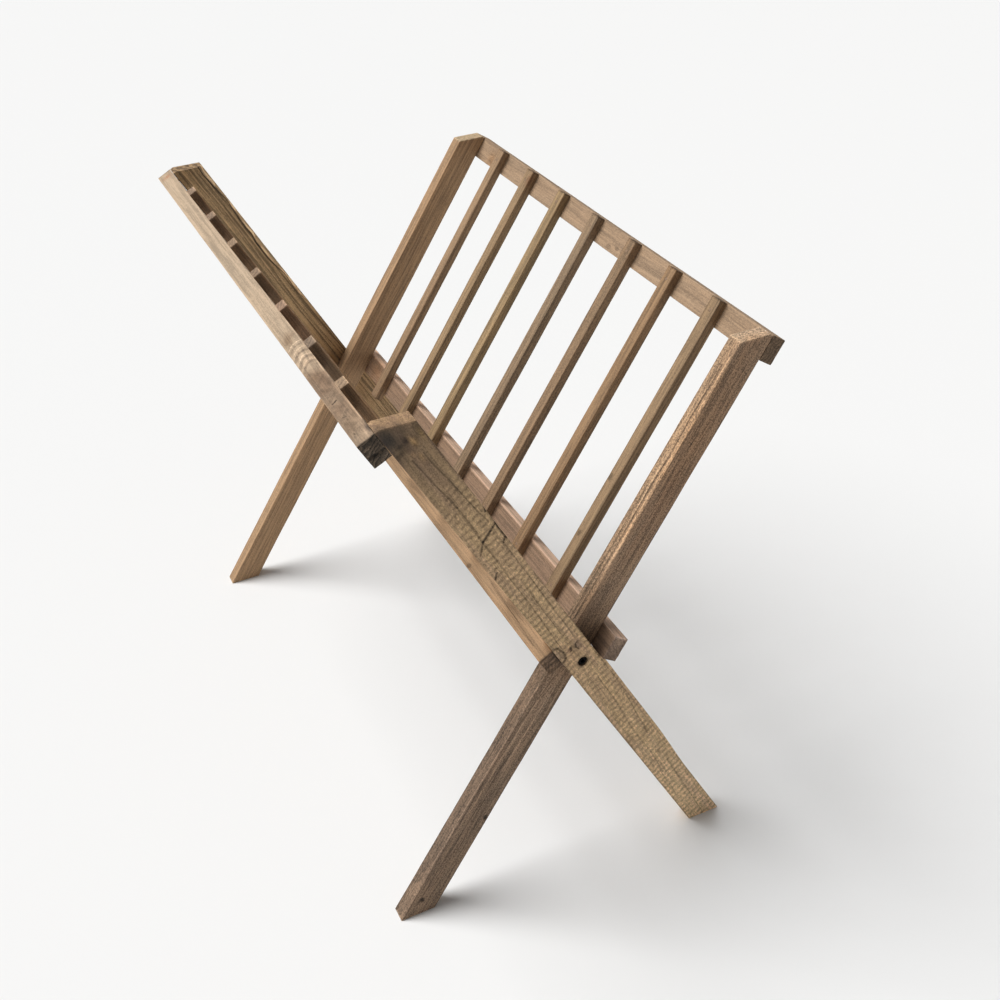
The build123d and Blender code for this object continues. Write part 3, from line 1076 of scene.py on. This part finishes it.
def wood_material(stick):
    """Weathered pine: rings, fibres, pores, saw strokes, worn edges, pitted end grain, knots and cracks."""
    look, seed = stick.look, float(stick.seed)
    nodes = Nodes(f"wood_{stick.node}")
    place = nodes.attribute("grain")["Vector"]
    tint = nodes.attribute("tint")["Color"]
    marks = nodes.node("ShaderNodeSeparateColor", {0: nodes.attribute("marks")["Color"]}).outputs
    sawn, edge, end = marks[0], marks[1], marks[2]

    sway = nodes.drift(place, (170, 26, 26), seed)
    bent = nodes.vector("MULTIPLY_ADD", sway, (0.0, 7.0, 7.0), place)
    rings, hearts = grain_tone(nodes, bent, stick)
    broad = nodes.cloud(bent, (110, 3.2, 3.2), seed + 2, 3.0, 0.6)
    fibre = nodes.cloud(bent, (26, 0.75, 0.75), seed + 3, 3.0, 0.6)
    fine = nodes.cloud(place, (5.0, 0.35, 0.35), seed + 4, 2.0, 0.6)
    grit = nodes.cloud(place, (1.1, 0.8, 0.8), seed + 5, 2.0, 0.7)

    tone = nodes.madd(nodes.minus(0.35, rings), look.ring, 0.5)
    tone = nodes.madd(nodes.minus(broad, 0.5), 1.1 * look.streak, tone)
    tone = nodes.madd(nodes.minus(fibre, 0.5), 1.8 * look.streak, tone)
    tone = nodes.madd(nodes.minus(grit, 0.5), look.speckle, tone)
    dark, pale = look.tone(DARKEST), look.tone(PALEST)
    colour = nodes.ramp(tone, (0.12, linear(dark)), (0.5, linear(look.colour)), (0.88, linear(pale)))
    colour = weathered(nodes, colour, bent, fine, look, seed)
    worn = nodes.times(edge, nodes.step(nodes.cloud(place, (9, 1.5, 1.5), seed + 7), 0.38, 0.6))
    colour = nodes.blend(worn, colour, shade(pale, 1.06))

    stroke = nodes.times(saw_strokes(nodes, place, seed), sawn)
    colour = nodes.scale(colour, nodes.madd(stroke, -0.34, 1.0))
    torn = nodes.step(nodes.cloud(place, (2.4, 2.6, 2.6), seed + 11, 2.0, 0.6), 0.45, 0.7)
    colour = nodes.scale(colour, nodes.madd(nodes.times(torn, sawn), 0.42, 1.0))

    pits = nodes.step(nodes.cloud(place, (2.0, 0.8, 0.8), seed + 12, 3.0, 0.7), 0.5, 0.66)
    pits = nodes.times(pits, end)
    colour = nodes.scale(colour, nodes.madd(pits, -0.45 * look.end_contrast, 1.0))
    ringed_end = nodes.times(end, rings)
    colour = nodes.scale(colour, nodes.madd(ringed_end, -0.3 * look.end_contrast, 1.0))
    if look.knots:
        colour = nodes.blend(hearts, colour, shade(dark, 0.5))

    height = nodes.madd(fibre, 0.8, nodes.times(grit, 0.35))
    height = nodes.madd(fine, 0.5, height)
    height = nodes.madd(stroke, -0.9, height)
    height = nodes.madd(pits, -0.9, height)
    colour, height = drawn_lines(nodes, place, stick, colour, height)
    # The tint brings in the blots, face tints and darkened bores, with their painted light and shade.
    colour = nodes.blend(1.0, colour, tint, "MULTIPLY")

    bump = nodes.node("ShaderNodeBump", {"Strength": 0.75, "Distance": 0.00035, "Height": height})
    nodes.put(nodes.shader.inputs["Base Color"], colour)
    nodes.put(nodes.shader.inputs["Roughness"], nodes.madd(fibre, 0.3, 0.62))
    nodes.put(nodes.shader.inputs["Normal"], bump.outputs["Normal"])
    nodes.shader.inputs["Specular IOR Level"].default_value = 0.28
    return nodes.material


def steel_material(name, colour, metallic, roughness, spots, shine=0.5):
    """Small steel hardware, with its finish rubbed and spotted."""
    nodes = Nodes(name)
    place = nodes.node("ShaderNodeTexCoord", {}).outputs["Object"]
    place = nodes.vector("MULTIPLY", place, (1 / MM, 1 / MM, 1 / MM))
    cloud = nodes.cloud(place, (2.2, 2.2, 2.2), 3.0, 3.0, 0.6)
    spot = nodes.step(nodes.cloud(place, (0.5, 0.5, 0.5), 9.0, 3.0, 0.6), 0.55, 0.7)
    base = nodes.blend(cloud, shade(colour, 0.75), shade(colour, 1.2))
    base = nodes.blend(nodes.times(spot, spots), base, linear((92, 66, 48)))
    nodes.put(nodes.shader.inputs["Base Color"], base)
    nodes.put(nodes.shader.inputs["Roughness"], nodes.madd(cloud, 0.3, roughness - 0.15))
    height = nodes.math("ADD", cloud, nodes.times(spot, 0.6))
    bump = nodes.node("ShaderNodeBump", {"Strength": 0.4, "Distance": 0.00006, "Height": height})
    nodes.put(nodes.shader.inputs["Normal"], bump.outputs["Normal"])
    nodes.shader.inputs["Metallic"].default_value = metallic
    nodes.shader.inputs["Specular IOR Level"].default_value = shine
    return nodes.material


# Making the pieces ---------------------------------------

def new_object(name, points, faces):
    mesh = bpy.data.meshes.new(name)
    mesh.from_pydata([tuple(p) for p in points], [], [tuple(map(int, f)) for f in faces])
    mesh.update()
    made = bpy.data.objects.new(name, mesh)
    bpy.context.scene.collection.objects.link(made)
    return made


def joined(shapes):
    """Several shapes' points and faces as one."""
    points, faces, start = [], [], 0
    for some_points, some_faces in shapes:
        points.append(some_points)
        faces += [tuple(start + k for k in face) for face in some_faces]
        start += len(some_points)
    return np.concatenate(points), faces


def fastener_places(leaning, node, reach):
    """Each fastener of a CAD node: the middle of its points along s and y, and its lowest and highest n."""
    groups = []
    for place in leaning.places(node):
        for group in groups:
            if np.hypot(place[S] - group[0][S], place[Y] - group[0][Y]) < reach:
                group.append(place)
                break
        else:
            groups.append([place])
    boxes = [(np.min(group, axis=0), np.max(group, axis=0)) for group in groups]
    return [((low[S] + high[S]) / 2, (low[Y] + high[Y]) / 2, low[N], high[N]) for low, high in boxes]


def fasteners(leaning, node, reach, shape, inward):
    """Shapes of a CAD node's screws or brads, with their places along s and y, and the start and direction of
    each.
    """
    made = []
    for s, y, low, high in fastener_places(leaning, node, reach):
        start = leaning.world([s, low if inward else high, y])
        direction = leaning.axes[N] * (1 if inward else -1)
        made.append((s, y, set_along(shape(high - low), start, direction), start, direction))
    return made


def screw_bore():
    rim, stem = SCREW_HEAD_RADIUS + BORE_CLEARANCE, SCREW_RADIUS + BORE_CLEARANCE
    return lofted([(rim, -1.0), (rim, 0.3), (stem, SCREW_HEAD_HEIGHT + 0.1), (stem, 13.0)], segments=32)


def brad_bore():
    rim, stem = BRAD_HEAD_RADIUS + BORE_CLEARANCE, BRAD_RADIUS + BORE_CLEARANCE
    return lofted([(rim, -1.0), (rim, 0.62), (stem, 0.62), (stem, 8.0)], segments=24)


def pivot_bore(leaning, end):
    """The pivot screw's bore at one end: through the outer leg, with room for its head, or blind."""
    legs = leaning.places(f"{leaning.name}_leg_{'left' if end < 0 else 'right'}")[:, Y]
    thickness = legs.max() - legs.min()
    face = legs.min() if end < 0 else legs.max()
    stem = PIVOT_RADIUS + BORE_CLEARANCE
    if leaning is outer:
        rings = [(HEAD_BORE_RADIUS, -1.0), (HEAD_BORE_RADIUS, HEAD_BORE_DEPTH)]
        rings += [(stem, HEAD_BORE_DEPTH), (stem, thickness + 1)]
    else:
        rings = [(stem, -1.0), (stem, GRIP_DEPTH)]
    start = leaning.world([0, leaning.pivot_n, face])
    return set_along(lofted(rings, segments=40), start, (0, -end, 0))


def cut(target, shapes):
    """Cuts closed shapes out of an object."""
    if not shapes:
        return
    tool = new_object(f"{target.name}_tool", *joined(shapes))
    modifier = target.modifiers.new("bores", "BOOLEAN")
    modifier.operation = "DIFFERENCE"
    modifier.solver = "EXACT"
    modifier.object = tool
    result = bpy.data.meshes.new_from_object(target.evaluated_get(bpy.context.evaluated_depsgraph_get()))
    target.modifiers.clear()
    target.data = result
    bpy.data.objects.remove(tool)


def finish_wood(made, stick):
    """Gives a stick its surface data, smooth shading and material."""
    mesh = made.data
    points = np.empty(len(mesh.vertices) * 3)
    mesh.vertices.foreach_get("co", points)
    grain, tint, marks = stick.surface_data(stick.frame.place_of(points.reshape(-1, 3)))
    mesh.attributes.new("grain", "FLOAT_VECTOR", "POINT").data.foreach_set("vector", grain.ravel())
    for name, values in (("tint", tint), ("marks", marks)):
        rgba = np.column_stack([values, np.ones(len(values))])
        mesh.attributes.new(name, "FLOAT_COLOR", "POINT").data.foreach_set("color", rgba.ravel())
    mesh.shade_smooth()
    mesh.set_sharp_from_angle(angle=SHARP_ANGLE)
    mesh.materials.clear()
    mesh.materials.append(wood_material(stick))


def make_sticks(bores):
    """Builds every wooden stick and cuts the bores that open on it."""
    for seed, node in enumerate(sorted(LOOKS)):
        stick = Stick(node, 20 * (seed + 1))
        made = new_object(f"wood_{node}", *stick.mesh())
        shapes = []
        if stick.is_leg:
            shapes.append(pivot_bore(stick.frame, -1 if node.endswith("left") else 1))
        else:
            shapes += [
                shape
                for name, s, y, shape, opens_on in bores
                if name == stick.frame.name
                and opens_on in node
                and stick.low[S] < s < stick.high[S]
                and stick.low[Y] < y < stick.high[Y]
            ]
        cut(made, shapes)
        finish_wood(made, stick)
        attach(made, stick.frame.body)
        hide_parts(node)


def steel_piece(name, shape, material, body, node):
    made = new_object(name, *shape)
    made.data.shade_smooth()
    made.data.set_sharp_from_angle(angle=math.radians(30))
    made.data.materials.append(material)
    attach(made, body)
    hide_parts(node)


def make_fasteners():
    """Builds the screws and brads. Returns their bores: frame, s, y, shape and the sticks they open on."""
    zinc = steel_material("zinc_plate", (176, 176, 172), 1.0, 0.42, 0.25)
    nail = steel_material("dark_nail_steel", (146, 121, 98), 0.3, 0.75, 0.3)
    bores = []
    for leaning in (outer, inner):
        kinds = (
            ("rail_screws", 8.0, screw_shape, True, screw_bore, "rail", zinc, "zinc_steel"),
            ("slat_brads", 4.0, brad_shape, False, brad_bore, "slat", nail, "nail_steel"),
        )
        for kind, reach, shape, inward, bore, opens_on, material, slot in kinds:
            node = f"{leaning.name}_{kind}"
            made = fasteners(leaning, node, reach, shape, inward)
            steel_piece(f"steel_{node}", joined([m[2] for m in made]), material, leaning.body, node)
            for s, y, _, start, way in made:
                bores.append((leaning.name, s, y, set_along(bore(), start, way), opens_on))
    return bores


def make_pivots():
    """Builds the screw and washer at each end of the pivot axis."""
    black = steel_material("black_oxide", (9, 8, 7), 0.0, 0.8, 0.1, shine=0.1)
    zinc = bpy.data.materials["zinc_plate"]
    centre = np.array(frame["joints"][0]["pos_m"])
    for label, end in (("left", -1), ("right", 1)):
        for kind, material, body, slot in (
            ("screw", black, "inner_frame", "black_steel"),
            ("washer", zinc, "outer_frame", "zinc_steel"),
        ):
            node = f"pivot_{kind}_{label}"
            low, high = (np.array(corner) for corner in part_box(node))
            length = (high[1] - low[1]) / MM
            radius = (high[2] - low[2]) / 2 / MM
            shape = pivot_screw_shape(length) if kind == "screw" else washer_shape(radius, length)
            start = centre.copy()
            start[1] = low[1] if end < 0 else high[1]
            steel_piece(f"steel_{node}", set_along(shape, start, (0, -end, 0)), material, body, node)


# Floor, light and camera ---------------------------------

def make_floor():
    """A wide, plain, pale floor."""
    corners = [(x * FLOOR_REACH, y * FLOOR_REACH, 0) for x, y in ((-1, -1), (1, -1), (1, 1), (-1, 1))]
    floor = new_object("floor", corners, [(0, 1, 2, 3)])
    nodes = Nodes("pale_floor")
    nodes.shader.inputs["Base Color"].default_value = (0.82, 0.82, 0.815, 1)
    nodes.shader.inputs["Roughness"].default_value = 0.9
    nodes.shader.inputs["Specular IOR Level"].default_value = 0.1
    floor.data.materials.append(nodes.material)


def make_sun():
    """A broad soft light from above, behind the rack's left side."""
    data = bpy.data.lights.new("key_light", "SUN")
    data.energy = SUN_STRENGTH
    data.angle = SUN_WIDTH
    light = bpy.data.objects.new("key_light", data)
    light.rotation_euler = Vector(SUN_DIRECTION).to_track_quat("-Z", "Y").to_euler()
    bpy.context.scene.collection.objects.link(light)


def make_surround():
    """A white backdrop, whose own light on the rack is strong low down and weak from above."""
    world = bpy.data.worlds.new("studio")
    world.use_nodes = True
    tree = world.node_tree
    background = tree.nodes["Background"]
    background.inputs["Color"].default_value = (1, 1, 1, 1)
    direction = tree.nodes.new("ShaderNodeTexCoord").outputs["Generated"]
    split = tree.nodes.new("ShaderNodeSeparateXYZ")
    fade = tree.nodes.new("ShaderNodeMapRange")
    for name, value in zip(("From Min", "From Max"), SURROUND_FADE):
        fade.inputs[name].default_value = value
    for name, value in (("To Min", SURROUND), ("To Max", SURROUND_ABOVE)):
        fade.inputs[name].default_value = value
    backdrop = tree.nodes.new("ShaderNodeMix")
    backdrop.inputs["B"].default_value = SURROUND
    seen = tree.nodes.new("ShaderNodeLightPath").outputs["Is Camera Ray"]
    tree.links.new(direction, split.inputs["Vector"])
    tree.links.new(split.outputs["Z"], fade.inputs["Value"])
    tree.links.new(seen, backdrop.inputs["Factor"])
    tree.links.new(fade.outputs["Result"], backdrop.inputs["A"])
    tree.links.new(backdrop.outputs["Result"], background.inputs["Strength"])
    bpy.context.scene.world = world
    bpy.context.scene.view_settings.view_transform = "Standard"


def make_camera():
    """A camera over the near left corner, looking down into the rack."""
    data = bpy.data.cameras.new("camera")
    data.lens = CAMERA_LENS
    data.sensor_width = 36.0
    data.shift_y = CAMERA_SHIFT
    camera = bpy.data.objects.new("camera", data)
    right = Vector(CAMERA_RIGHT).normalized()
    forward = Vector(CAMERA_FORWARD).normalized()
    turn = Matrix((right, right.cross(forward), -forward)).transposed()
    camera.matrix_world = Matrix.Translation(CAMERA_PLACE) @ turn.to_4x4()
    bpy.context.scene.collection.objects.link(camera)
    bpy.context.scene.camera = camera


make_camera()
make_sun()
make_surround()
make_floor()
make_sticks(make_fasteners())
make_pivots()
